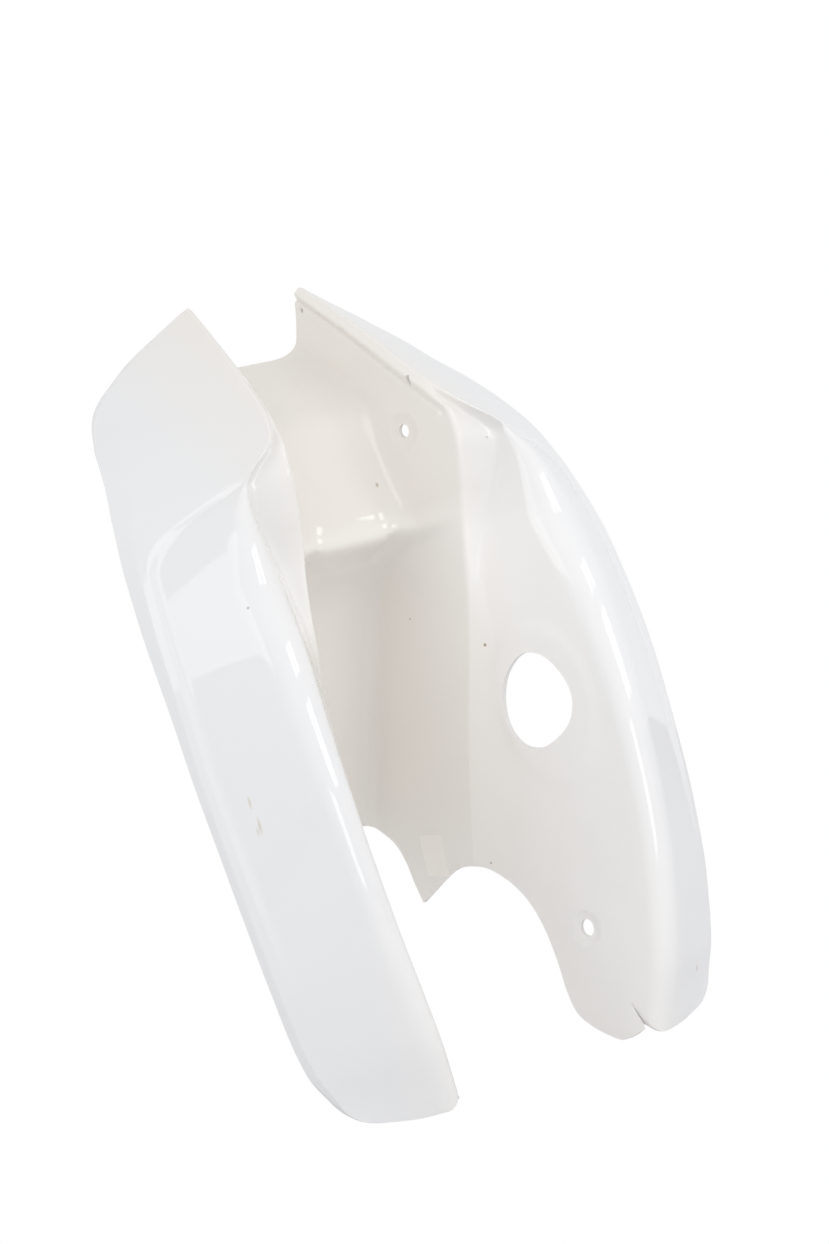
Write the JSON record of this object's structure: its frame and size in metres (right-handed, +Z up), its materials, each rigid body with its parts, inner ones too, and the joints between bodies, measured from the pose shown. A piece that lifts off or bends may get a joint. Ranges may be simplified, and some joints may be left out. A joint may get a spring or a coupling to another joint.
{
  "type": "motorbike leg shield",
  "caption": "Moulded white leg shield of a step-through motorbike: a deep tunnel over the frame between two wings, with arches, bolt holes and a service hole.",
  "frame": {"origin": "on the mid plane, on the common axis of the two top bolt holes", "axes": "+X across to the right wing, +Y from the front wheel towards the rider, +Z up along the wing folds"},
  "size_m": [0.3878, 0.3054, 0.611],
  "materials": {
    "shell_plastic": "glossy white plastic"
  },
  "bodies": {
    "root": {"leg_shield": "shell_plastic"}
  },
  "joints": []
}
